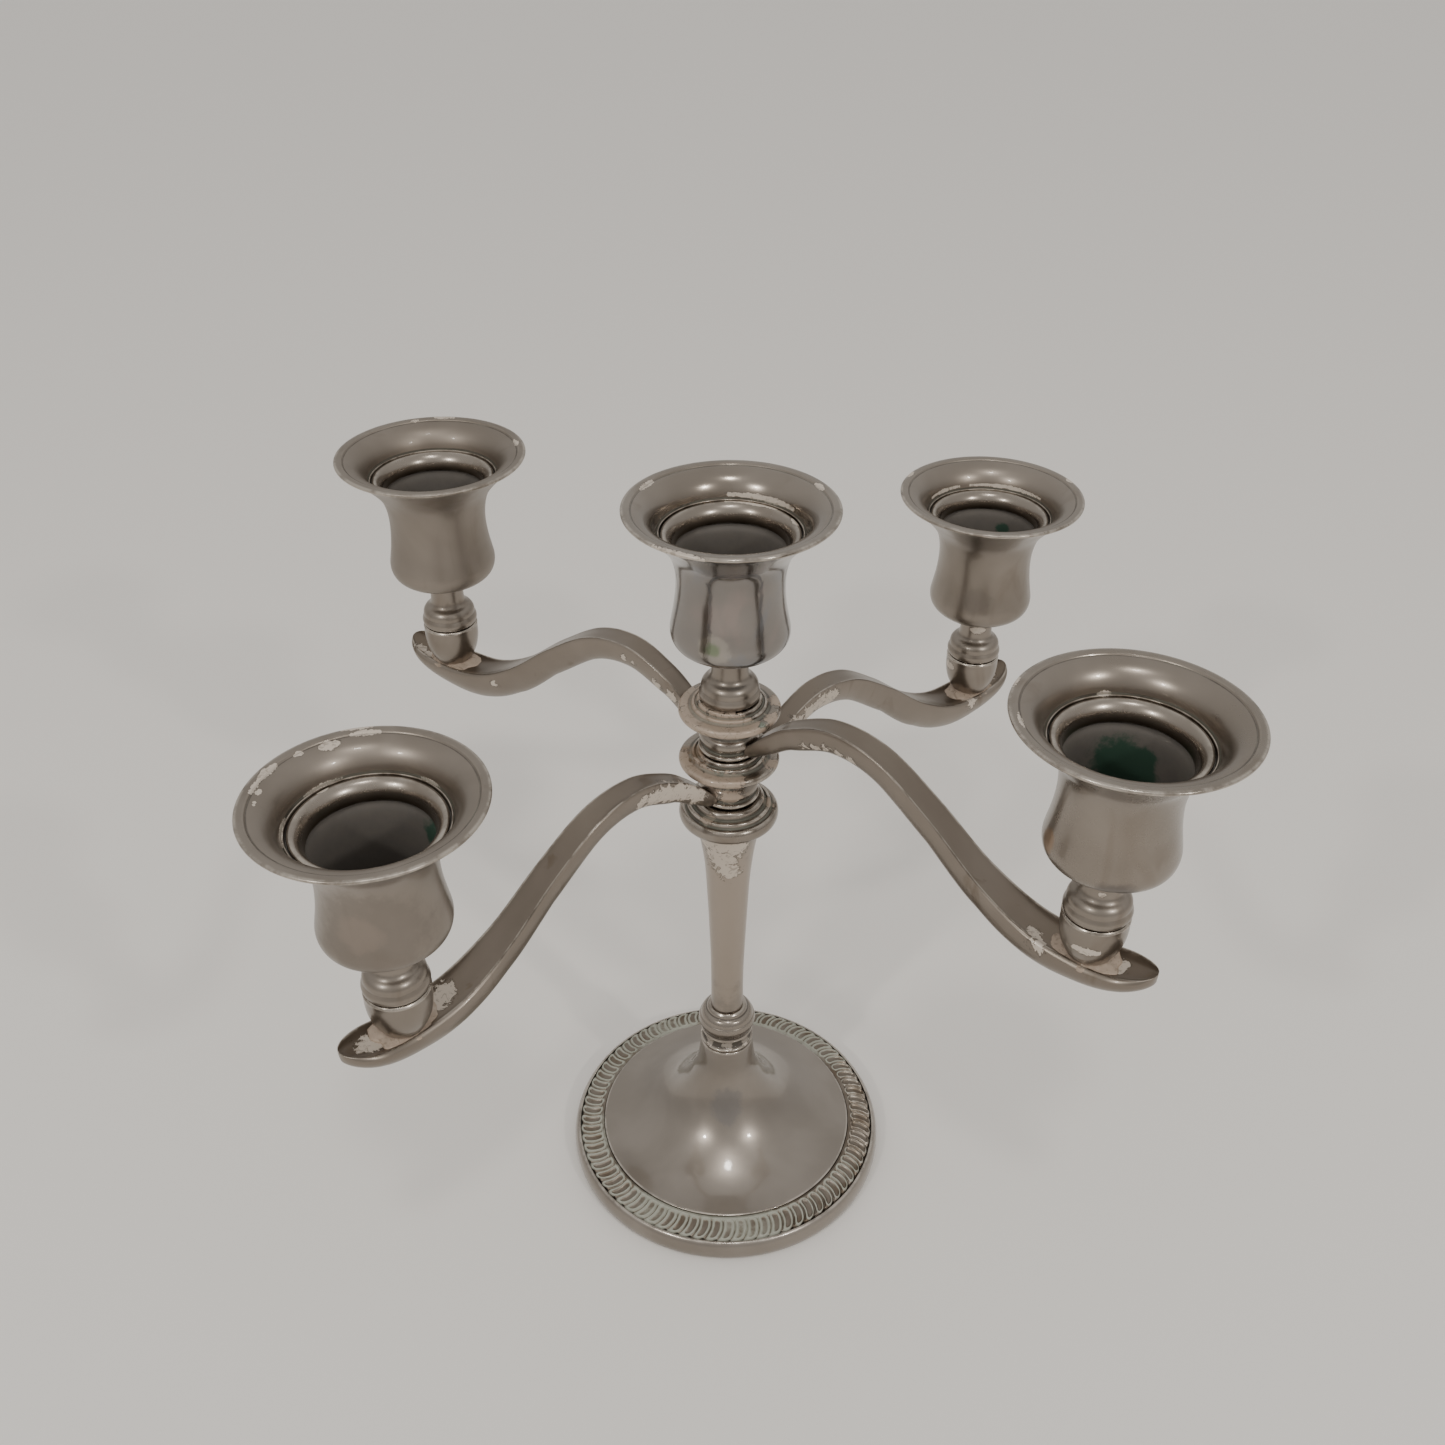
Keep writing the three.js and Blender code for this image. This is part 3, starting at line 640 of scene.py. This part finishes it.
def arm(name, turn, level):
    """A section carried along the arm's line. The section's top dips between two eased ridges, and its
    keel is a half circle stretched to the arm's depth. Towards the tip the dip becomes the leaf's dish
    and the ridges its thick lip, and everything closes in."""
    line = through(ARM_LINE, 200)
    run = ((line[:, 0] - line[0, 0]) / (line[-1, 0] - line[0, 0]))[:, None]
    slope = (np.gradient(line[:, 1]) / np.gradient(line[:, 0]))[:, None]
    closing = np.sqrt(np.clip(1 - np.clip((run - 0.91) / 0.09, 0, 1)**2.4, 0, 1))
    leaf = np.clip((run - 0.62) / 0.24, 0, 1)
    width = reading(ARM_WIDTHS, run) * (0.04 + 0.96 * closing)
    depth = reading(ARM_DEPTHS, run) * np.sqrt(1 + slope**2).clip(max=1.66) * (0.5 + 0.5 * closing)
    dish = (0.22 + 1.1 * leaf) * closing
    lip = 0.22 + 0.65 * leaf
    u = np.linspace(0, np.pi, 36)[None]
    top_share, keel_share = np.cos(u), -np.cos(u[:, 1:-1])
    ridge_at = 1 - 0.10 - 0.08 * leaf
    inner = np.clip(np.abs(top_share) / ridge_at, 0, 1)
    outer = np.clip((np.abs(top_share) - ridge_at) / (1 - ridge_at), 0, 1)
    top_drop = -dish * (1 - inner**4) - lip * outer**2
    keel_drop = -lip - (depth - lip) * np.sin(u[:, 1:-1])**0.85
    side = 0.5 * width * np.hstack([np.broadcast_to(top_share, (len(run), u.size)),
                                    np.broadcast_to(keel_share, (len(run), u.size - 2))])
    drop = np.hstack([top_drop, keel_drop])
    x = np.broadcast_to(line[:, :1], side.shape)
    clear = np.where(x < ROOT_REACH, ROOT_FLOOR, line[:, 1:].min() - depth.max() - lip)
    z = np.maximum(line[:, 1:] + drop, clear) + level
    away = np.array([math.cos(turn), math.sin(turn)])
    grid = np.stack([x * away[0] - side * away[1], x * away[1] + side * away[0], z], axis=-1)
    share = np.abs(side) / (0.5 * width)
    ridge = np.exp(-((share - ridge_at) / 0.07)**2) * (drop > -lip)
    well = np.exp(-((share - ridge_at + 0.22) / 0.10)**2) * leaf * (drop > -dish * 1.01)
    # The ridges count as sharp edges, so the finish lightens them: rubbed plate with a painted highlight
    # along each ridge.
    hollow = 0.30 * well - 1.1 * ridge
    age = 0.28 + (0.3 + 0.35 * leaf) * (share < ridge_at) * np.hstack([np.ones(u.size), np.zeros(u.size - 2)])
    ends = [part.mean(axis=1, keepdims=True).repeat(side.shape[1], 1) for part in (grid[:1], grid[-1:])]
    grid = np.concatenate([ends[0], grid, ends[1]])
    hollow, age = (np.concatenate([values[:1], values, values[-1:]]) for values in (hollow, age))
    return surface(name, grid, hollow, age)


def along_arm(turn, level, reach, side, rise):
    """A spot on an arm, in mm: `reach` from the column, `side` to its left, `rise` above its top."""
    up = np.interp(reach, *np.array(ARM_LINE).T)
    x, y = math.cos(turn), math.sin(turn)
    return (reach * x - side * y, reach * y + side * x, level + up + rise)


# Where each arm has flaked: (from, to, side, rise, radius), in mm along and across it.
ARMS = {
    "lower_arm_a": (BRANCH_TURN, LOWER_HUB_Z, [
        (22, 33, -3.2, -3.6, 4.2), (92, 94, -4.5, -1.6, 3.2), (101, 106, 0.5, -1, 4.0),
    ]),
    "lower_arm_b": (BRANCH_TURN + math.pi, LOWER_HUB_Z, [
        (13, 26, 3.0, -3.0, 4.4), (27, 30, 3.2, -4.2, 3.0), (86, 89, -1.0, -0.8, 4.2),
        (103, 106, 0, -1, 4.6),
    ]),
    "upper_arm_a": (0.0, UPPER_HUB_Z, [
        (23, 36, -3.4, -5.2, 2.8), (86, 88, -3, -1.0, 2.8), (88, 89, -5.0, -1.6, 2.4),
        (104, 106, 0, -1, 4.0),
    ]),
    "upper_arm_b": (math.pi, UPPER_HUB_Z, [
        (12, 16, 2.6, -3, 2.6), (17, 21, 3.2, -5.0, 2.8), (28, 31, 3.4, -3.8, 1.8), (77, 79, 5.2, -4, 1.8),
        (104, 108, 3, -1, 3.0),
    ]),
}
for arm_name, (turn, level, bare) in ARMS.items():
    spots = []
    for start, end, side, rise, radius in bare:
        reaches = np.linspace(start, end, 1 + int((end - start) / 3))
        spots += [(along_arm(turn, level, reach, side, rise), radius) for reach in reaches]
    body = arm_name.split("_")[0] + "_branch"
    arm_finish = plate(arm_name + "_finish", 0.33, 0.85, flakes=spots, pale=0.75, coat=0.25)
    dress(arm(arm_name + "_cast", turn, level), body, "plated_arms", arm_finish, arm_name)


# The lights: a seat soldered on the leaf, a pillar with a bell knop, a spun cup with a flared rim, and
# a loose collar that the candle goes through. Heights are counted down from the cup's rim.
LIGHTS = {
    "lower_a": (BRANCH_TURN, 178.5),
    "lower_b": (BRANCH_TURN + math.pi, 178.5),
    "upper_a": (0.0, 193.1),
    "upper_b": (math.pi, 193.1),
    "centre": (None, 207.6),
}
LIGHT_RADIUS = 97.3


def light_centre(light):
    turn = LIGHTS[light][0]
    return (0.0, 0.0) if turn is None else (LIGHT_RADIUS * math.cos(turn), LIGHT_RADIUS * math.sin(turn))


def below_rim(corners, rim):
    return [(corner[0], corner[1] + rim, *corner[2:]) for corner in corners]


def cup(light, seed):
    """The cup's dish ages towards its foot, and its bore has an age of 2, which the finish colours dark."""
    rim = LIGHTS[light][1]
    corners = [
        (1.9, -37.4, 0.1), (5.0, -37.4, 0.4), (6.4, -36.9, 0.5), (9.2, -36.1), (11.6, -35.1), (13.5, -33.5),
        (14.15, -31), (13.6, -28), (12.95, -24.5), (12.5, -20), (12.6, -16), (13.3, -12.4), (14.4, -9.9),
        (16.8, -7.0), (19.7, -4.1), (22.6, -1.9), (24.1, -1.1), (24.5, -0.7), (24.5, -0.2), (24.0, 0.0),
        (23.1, -0.05), (22.45, -0.2, 0.12), (22.25, -0.5, 0.12), (21.2, -0.6), (19.6, -1.3), (18.2, -2.7),
        (17.3, -4.3), (16.8, -5.8), (16.6, -6.5, 0.12), (16.4, -6.25, 0.1), (16.15, -6.3, 0.1),
        (16.0, -7.6, 0.1),
        (14.8, -7.6, 0.2), (14.3, -8.5), (13.5, -10.0), (13.35, -11.2), (12.4, -13.2), (11.9, -19),
        (12.3, -26),
        (13.1, -31), (11.4, -34.2), (8.0, -35.6), (3.9, -35.6, 0.1), (3.9, -36.7, 0.1), (1.9, -36.7, 0.1),
    ]
    path = eased(below_rim(corners, rim), closed=True)
    below = rim - path[:, 1]
    inside = (np.arange(len(path)) > path[:, 1].argmax()) & (path[:, 0] < 23)
    age = inside * np.where(below > 7.4, 2.0, 0.15 + 0.6 * np.clip((below - 2.5) / 4, 0, 1)**2)
    centre = light_centre(light)
    return turned(light + "_cup_spun", path, centre, 128, closed=True, tremor=0.045, seed=seed, age=age)


def collar(light, seed):
    corners = [
        (12.65, -10.6, 0.1), (13.1, -10.6, 0.1), (13.2, -9.8), (14.0, -8.2), (14.6, -7.35, 0.2),
        (15.5, -7.35, 0.2),
        (15.78, -7.0, 0.2), (15.7, -6.5, 0.2), (15.2, -6.2, 0.4), (14.5, -6.35), (13.8, -6.95), (13.15, -7.9),
        (12.8, -9.0), (12.65, -9.9),
    ]
    path = eased(below_rim(corners, LIGHTS[light][1]), closed=True)
    depth = LIGHTS[light][1] - path[:, 1]
    age = np.clip((depth - 8.3) / 1.6, 0, 1) * 1.1 * (path[:, 0] < 13.05)
    return turned(light + "_collar_rolled", path, light_centre(light), 112, True, 0.03, seed, age)


def pillar(light, seed):
    neck = [
        (7.1, -49.75, 0.2), (7.38, -49.1), (7.42, -48.3), (7.1, -47.5, 0.3), (6.92, -47.1, 0.3),
        (6.95, -46.5), (6.8, -45.7), (6.2, -44.8), (5.2, -44.1, 0.4), (4.55, -43.2), (4.4, -41.2),
        (4.45, -39.0), (4.7, -37.7, 0.2),
        (1.9, -37.7, 0.1),
    ]
    centre, rim = light_centre(light), LIGHTS[light][1]
    if light == "centre":
        plug = [(0, -60.4), (4.1, -60.4, 0.3), (4.5, -49.9, 0.15), (6.9, -49.9, 0.2)]
        path = eased(below_rim([*plug, *neck, (1.9, -54.9, 0.1), (0, -54.9)], rim))
        return turned(light + "_pillar_turned", path, centre, sides=96, tremor=0.02, seed=seed)
    path = eased(below_rim([(1.9, -49.9, 0.1), (6.9, -49.9, 0.2), *neck], rim), closed=True)
    return turned(light + "_pillar_turned", path, centre, sides=96, closed=True, tremor=0.02, seed=seed)


def seat(light, seed):
    corners = [
        (0, -61.6), (4.9, -61.6, 0.2), (5.6, -60.4), (6.5, -58.5), (7.1, -56.2), (7.35, -53.6), (7.3, -51.6),
        (7.4, -50.6, 0.2), (7.05, -50.15, 0.15), (1.9, -50.2, 0.1), (1.9, -55.7, 0.1), (0, -55.7),
    ]
    path = eased(below_rim(corners, LIGHTS[light][1]))
    return turned(light + "_seat_cup", path, light_centre(light), sides=96, tremor=0.02, seed=seed)


def solder(light, seed):
    """Solder run round a seat's foot: a low puddle, longer along the arm than across it, whose edge
    wanders as it goes round and whose top falls evenly from the seat to the edge."""
    turn, rim = LIGHTS[light]
    angle = np.linspace(0, 2 * np.pi, 150, endpoint=False)[None]
    wander = 0.6 * np.sin(3 * angle + seed) + 0.5 * np.sin(5 * angle - 2 * seed)
    wander = wander + 0.35 * np.sin(11 * angle + seed)
    edge = 5.7 + 2.3 * np.cos(angle - turn)**2 + wander * (0.35 + 0.65 * np.cos(angle - turn)**2)
    share = np.array([0.0, 0.86, 0.95, 1.0, 1.0, 0.97, 0.9, 0.8, 0.7, 0.6, 0.0])[:, None]
    rise = np.array([-3.2, -3.2, -3.0, -2.6, -2.2, -1.9, -1.7, -1.45, -1.1, -0.7, -0.7])[:, None]
    lumps = 0.12 * np.sin(17 * angle + 40 * share + seed) * (share > 0.5) * (share < 0.99)
    x, y = light_centre(light)
    height = rim - 60.4 + rise + lumps
    grid = np.stack([x + share * edge * np.cos(angle), y + share * edge * np.sin(angle), height], axis=-1)
    return surface(light + "_solder", grid, 0.0)


def screw(light):
    """A flat head with a driver's slot, sunk in the cup's floor; the shank runs down through the pillar.
    The slot is a smooth notch across the head's top."""
    x, y = light_centre(light)
    corners = [(0, -54.3), (1.3, -54.3, 0.1), (1.5, -53.8, 0.1), (1.5, -36.4, 0.1), (3.3, -36.4, 0.1)]
    head = np.column_stack([np.linspace(3.3, 0, 16), np.full(16, -35.7)])
    path = np.vstack([eased(corners), head]) + (0, LIGHTS[light][1])
    angle = np.linspace(0, 2 * np.pi, 64, endpoint=False)[None]
    across, along = path[:, :1] * np.sin(angle), path[:, :1] * np.cos(angle)
    notch = 0.4 * np.exp(-(across / 0.45)**4) * (np.arange(len(path)) > len(path) - 16)[:, None]
    grid = np.stack([x + along, y + across, path[:, 1:] - notch], axis=-1)
    return surface(light + "_screw_sunk", grid, 0.0)


def cup_marks(light):
    """Marks on a cup: a dark bore with green wax in it, and on the centre cup dark runs down its side,
    joined over a paler panel, with a rainbow tarnish. Two of the runs, near the cup's edges as seen, are
    painted dark reflections."""
    x, y = light_centre(light)
    rim = LIGHTS[light][1]

    def add(finish, colour, rough, metal):
        age = finish.kept("age")
        within = age.rise(1.2, 1.8)
        wax = finish.noise(160, 4, 0.7)
        # The bore below the collar is coloured dark and made less metallic.
        colour = finish.blend(colour, finish.blend((0.17, 0.15, 0.13), (0.105, 0.098, 0.092), wax), within)
        for bearing, reach, drop, size in WAX[light]:
            heading = math.radians(bearing) + CAMERA_TURN
            spot = (x + reach * math.cos(heading), y + reach * math.sin(heading), rim - drop)
            green = (finish.nearness(spot, size) + (wax - 0.5) * 1.3).rise(0.15, 0.5) * within
            colour = finish.blend(colour, (0.030, 0.072, 0.048), green)
        rough = rough + within * 0.15
        metal = metal - within * 0.8
        if light != "centre":
            return colour, rough, metal
        from_rim = {0: finish.place, 1: (0, 0, rim * MM)}
        middle = finish.node("ShaderNodeVectorMath", {"operation": "SUBTRACT"}, from_rim)
        across, deep, up = middle.part("X"), middle.part("Y"), middle.part("Z")
        angle = deep.reckon("ARCTAN2", across)
        outside = 1 - age.rise(0.02, 0.1)
        wobble = (finish.noise(110, 3, 0.6) - 0.5) * 0.20 + (finish.noise(420, 3, 0.6) - 0.5) * 0.09
        square = (angle + 0.84) * (angle + 0.84)
        bent = square * square * 0.085
        marks = outside * (1 - (up + bent + 0.0092 + wobble * 0.004).size().rise(0.0003, 0.0008))
        marks = marks * (1 - (angle + 0.84).size().rise(0.42, 0.48))
        # The first two runs are dark marks down the front; the last two are painted dark reflections near the
        # cup's edges as seen.
        for bearing, width, start, end in DARK_RUNS_AND_REFLECTIONS:
            off = (angle + wobble - bearing).size()
            run = (1 - off.rise(width * 0.2, width)) * (1 - up.rise(start, start + 0.001))
            run = run * up.rise(end, end + 0.006)
            run = run * (wobble * 6 + 1).rise(0.55, 0.95)
            marks = marks.top(run * outside)
        colour = finish.blend(colour, (0.085, 0.07, 0.058), marks * 0.85)
        rough = rough + marks * 0.15
        sheen = finish.noise(52, 3, 0.5, 0.8)
        body = outside * (1 - up.rise(-0.008, -0.004))
        colour = finish.blend(colour, (0.205, 0.218, 0.240), (sheen.rise(0.44, 0.62) * 0.6 + 0.3) * body)
        colour = finish.blend(colour, (0.33, 0.265, 0.245), (1 - sheen).rise(0.56, 0.70) * body * 0.45)
        moss = finish.nearness((4.8, -13.0, rim - 29.0), 4.2) + (wax - 0.5) * 1.2
        colour = finish.blend(colour, (0.42, 0.39, 0.34), (moss + 0.3).rise(0.3, 0.6) * 0.5)
        colour = finish.blend(colour, (0.17, 0.22, 0.13), moss.rise(0.45, 0.85) * 0.8)
        return colour, rough, metal

    return add


# Bearings are in degrees round each light, from the bench's right-hand side, and lengths in mm. A
# flake is (from, to, reach, height from the rim, radius). A stain is a bearing, reach and height with
# a radius, a colour and a strength; the pale one on the lower_b cup is a painted highlight. Wax is
# (bearing, reach, depth, radius). A gloss is the roughness and how much lacquer is left. The dark
# runs are (bearing, half width, top, end): radians round the column, and metres from the rim; the
# last two are painted dark reflections near the centre cup's edges as seen.
RIM_FLAKES = {
    "lower_a": [
        (147, 153, 24.0, -0.2, 1.5), (18, 23, 24.0, 0, 1.3), (28, 100, 16.9, -5.4, 0.9),
        (112, 150, 16.9, -5.4, 0.8),
    ],
    "lower_b": [
        (94, 108, 22.5, -0.4, 1.3), (117, 125, 21.2, -0.6, 2.1), (98, 112, 24.2, -0.2, 1.2),
        (136, 140, 22.0, -0.5, 1.1), (152, 164, 22.6, -0.4, 1.5), (164, 176, 22.5, -0.4, 1.0),
        (172, 175, 21.2, -0.7, 1.1), (182, 184, 21.0, -0.7, 1.0), (44, 62, 16.7, -6.2, 0.7),
        (120, 150, 16.7, -6.2, 0.7), (176, 206, 16.7, -6.2, 0.8),
    ],
    "upper_a": [(178, 190, 22.6, -0.4, 1.0), (92, 100, 16.6, -6.2, 1.1), (146, 156, 24.2, -0.3, 1.0)],
    "upper_b": [(84, 96, 23.4, -0.1, 1.2), (16, 24, 22.6, -0.3, 1.1), (108, 112, 22.8, -0.3, 1.0)],
    "centre": [
        (144, 156, 22.2, -0.5, 1.3), (228, 256, 24.3, -0.6, 1.5), (24, 32, 22.6, -0.3, 1.2),
        (34, 92, 16.9, -5.4, 1.2),
    ],
}
COLLAR_FLAKES = {
    "centre": [(48, 94, 15.3, -6.3, 1.3), (14, 24, 15.3, -6.3, 1.3)],
    "lower_b": [(134, 142, 15.4, -6.3, 1.0)],
}
PILLAR_FLAKES = {"lower_a": [(245, 290, 4.7, -40.4, 1.8)], "upper_a": [(250, 262, 4.7, -42.0, 1.0)]}
SEAT_FLAKES = {"lower_a": [(188, 212, 7.3, -53.0, 2.0)], "upper_a": [(225, 268, 7.2, -56.0, 1.8)]}
WAX = {
    "lower_a": [(60, 12, 16, 3)],
    "lower_b": [(30, 12, 14.5, 4.8)],
    "upper_a": [(80, 12, 19, 8.0), (60, 12, 21, 7.0)],
    "upper_b": [(200, 12, 20, 3)],
    "centre": [(40, 12, 22, 3)],
}
DARK_RUNS_AND_REFLECTIONS = [
    (-1.31, 0.050, -0.0128, -0.0345), (-0.37, 0.045, -0.0128, -0.035), (-2.18, 0.04, -0.004, -0.030),
    (0.33, 0.04, -0.004, -0.033),
]
BODY_GLOSS = {
    "lower_a": (0.34, 0.3), "lower_b": (0.37, 0.3), "upper_a": (0.28, 0.35), "upper_b": (0.44, 0.1),
    "centre": (0.20, 0.4),
}
STAINS_AND_HIGHLIGHT = {
    "upper_a": [
        (190, 13.8, -29.0, 3.6, (0.33, 0.22, 0.14), 0.75),
        (262, 12.6, -34.6, 6.0, (0.13, 0.115, 0.105), 0.8),
    ],
    "lower_a": [(255, 13.0, -26.0, 6.0, (0.19, 0.165, 0.14), 0.5)],
    "lower_b": [
        (275, 13.2, -26.0, 16.0, (0.205, 0.178, 0.153), 0.55),
        # A painted highlight: the pale warm patch on the front of this cup's waist.
        (262, 13.0, -24.0, 6.0, (0.36, 0.30, 0.255), 0.4),
    ],
}


def round_light(light, bearing, reach, drop):
    """A spot round a light, in mm: a bearing, a distance from its middle and a height from its rim."""
    x, y = light_centre(light)
    heading = math.radians(bearing) + CAMERA_TURN
    return (x + reach * math.cos(heading), y + reach * math.sin(heading), LIGHTS[light][1] + drop)


def slivers(light, flakes):
    """Spots close together along each flake, which runs from one bearing to another and tapers."""
    spots = []
    for start, end, reach, drop, radius in flakes:
        for bearing in np.linspace(start, end, 1 + math.ceil((end - start) / 2)):
            taper = 0.6 + 0.4 * math.sin(math.pi * (bearing - start) / (end - start))
            spots.append((round_light(light, bearing, reach, drop), radius * taper))
    return spots


SOLDER_FINISH = plate("solder_finish", 0.42, 0.5, flakes=[((0, 0, 130), 600.0)], pale=0.35, coat=0.15)
for number, (light, (turn, rim)) in enumerate(LIGHTS.items()):
    body = "centre_light" if turn is None else light.split("_")[0] + "_branch"
    rim_spots = slivers(light, RIM_FLAKES[light])
    collar_spots = slivers(light, COLLAR_FLAKES.get(light, []))
    stains_and_reflections = [(round_light(light, *marking[:3]), *marking[3:]) for marking in STAINS_AND_HIGHLIGHT.get(light, [])]
    gloss, coat = BODY_GLOSS[light]
    cup_finish = plate(
        light + "_cup_finish", gloss, 0.35, rim_spots, stains_and_reflections, 0.2, 0.9, cup_marks(light), coat, fine=1.5,
    )
    dress(cup(light, number * 1.7), body, "plated_cups", cup_finish, light + "_cup")
    collar_finish = plate(light + "_collar_finish", 0.26, 0.4, collar_spots, pale=0.9, fine=2.0)
    dress(collar(light, number * 2.1), light + "_collar", "plated_cups", collar_finish, light + "_collar")
    pillar_spots = slivers(light, PILLAR_FLAKES.get(light, []))
    pillar_finish = plate(light + "_pillar_finish", 0.34, 0.5, pillar_spots, pale=0.8, coat=0.2, fine=1.5)
    slot = "plated_column" if light == "centre" else "plated_arms"
    dress(pillar(light, number * 0.9), body, slot, pillar_finish, light + "_pillar")
    dress(screw(light), body, "steel", STEEL, light + "_screw")
    if light != "centre":
        seat_spots = slivers(light, SEAT_FLAKES.get(light, []))
        seat_finish = plate(light + "_seat_finish", 0.32, 0.5, seat_spots, pale=0.8, fine=1.5)
        dress(seat(light, number * 1.3), body, "plated_arms", seat_finish, light + "_seat")
        dress(solder(light, number * 1.9 + 1), body, "plated_arms", SOLDER_FINISH)
